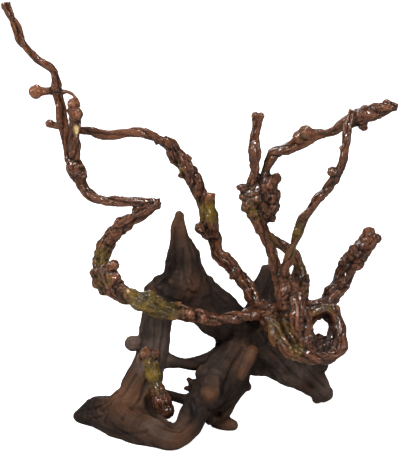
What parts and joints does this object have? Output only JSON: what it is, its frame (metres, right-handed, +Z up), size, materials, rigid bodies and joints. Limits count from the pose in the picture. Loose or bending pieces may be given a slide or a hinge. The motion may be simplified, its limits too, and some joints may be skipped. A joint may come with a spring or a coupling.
{
  "type": "spiderwood root",
  "caption": "Dark matt root stump on low feet that carries a crown of twisted, lacquered spiderwood branches and a short mossy shoot; stands free as a tank or shelf centrepiece.",
  "frame": {"origin": "centre of the footprint box on the floor that the root's feet stand on", "axes": "+Z up; the side that the picture shows faces -Y; +X to its right, across the widest reach of the branches"},
  "size_m": [0.3331, 0.1279, 0.3662],
  "materials": {
    "stump": "matt dark bark, browner where it is worn",
    "branches": "glossy red-brown lacquer over twisted bark, mossy in places",
    "shoot": "glossy, yellow-green moss over brown bark"
  },
  "bodies": {
    "root": {"stump": "stump", "branch_crown": "branches", "mossy_shoot": "shoot"}
  },
  "joints": []
}
